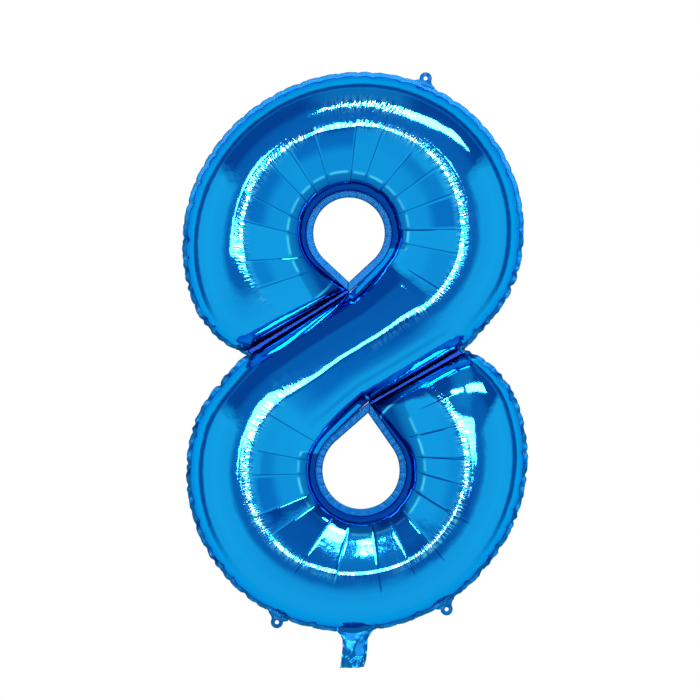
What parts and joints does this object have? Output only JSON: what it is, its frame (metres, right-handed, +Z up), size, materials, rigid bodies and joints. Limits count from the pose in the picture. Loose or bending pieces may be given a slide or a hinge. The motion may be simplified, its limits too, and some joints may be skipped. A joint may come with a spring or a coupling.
{
  "type": "foil number balloon",
  "caption": "Inflated foil balloon in the shape of a figure eight, with teardrop holes, a valved filling neck and small tabs for hanging.",
  "frame": {"origin": "middle of the neck's fold line, where the ribbon is tied", "axes": "+Z up through the figure, +X to the viewer's right, -Y is the front face"},
  "size_m": [0.5194, 0.1592, 0.8942],
  "materials": {
    "blue_foil": "mirror-bright blue metallised nylon film, finely creased",
    "welded_foil": "blue metallised film, heat-welded and puckered",
    "valve_film": "clear soft polythene film"
  },
  "bodies": {
    "envelope": {"front_foil": "blue_foil", "back_foil": "blue_foil", "outer_seam": "welded_foil", "upper_hole_seam": "welded_foil", "lower_hole_seam": "welded_foil", "left_cross_seam": "welded_foil", "right_cross_seam": "welded_foil"},
    "neck": {"neck_front_film": "blue_foil", "neck_back_film": "blue_foil", "neck_left_weld": "welded_foil", "neck_right_weld": "welded_foil", "valve_front_sleeve": "valve_film", "valve_back_sleeve": "valve_film"},
    "valve_front": {"valve_front_leaf": "valve_film"},
    "valve_back": {"valve_back_leaf": "valve_film"},
    "top_tab": {"top_tab": "welded_foil"},
    "lower_left_tab": {"lower_left_tab": "welded_foil"},
    "lower_right_tab": {"lower_right_tab": "welded_foil"}
  },
  "joints": [
    {"name": "neck_fold", "type": "hinge", "parent": "envelope", "child": "neck", "pos_m": [0, 0, 0], "axis": [1, 0, 0], "range_deg": [-85, 85], "stiffness_Nm_per_rad": 0.002},
    {"name": "valve_front_opening", "type": "hinge", "parent": "envelope", "child": "valve_front", "pos_m": [0, -0.0003, 0.00125], "axis": [1, 0, 0], "range_deg": [0, 4], "stiffness_Nm_per_rad": 0.001},
    {"name": "valve_back_opening", "type": "hinge", "parent": "envelope", "child": "valve_back", "pos_m": [0, 0.0003, 0.00125], "axis": [1, 0, 0], "range_deg": [-4, 0], "stiffness_Nm_per_rad": 0.001},
    {"name": "top_tab_fold", "type": "hinge", "parent": "envelope", "child": "top_tab", "pos_m": [0.10545, 0, 0.81868], "axis": [0.9263, 0, -0.3769], "range_deg": [-80, 80], "stiffness_Nm_per_rad": 0.002},
    {"name": "lower_left_tab_fold", "type": "hinge", "parent": "envelope", "child": "lower_left_tab", "pos_m": [-0.11575, 0, 0.01748], "axis": [-0.9082, 0, 0.4186], "range_deg": [-80, 80], "stiffness_Nm_per_rad": 0.002},
    {"name": "lower_right_tab_fold", "type": "hinge", "parent": "envelope", "child": "lower_right_tab", "pos_m": [0.136, 0, 0.03684], "axis": [-0.846, 0, -0.5332], "range_deg": [-80, 80], "stiffness_Nm_per_rad": 0.002}
  ],
  "couplings": [
    {"joint": "valve_back_opening", "follows": "valve_front_opening", "ratio": -1}
  ]
}
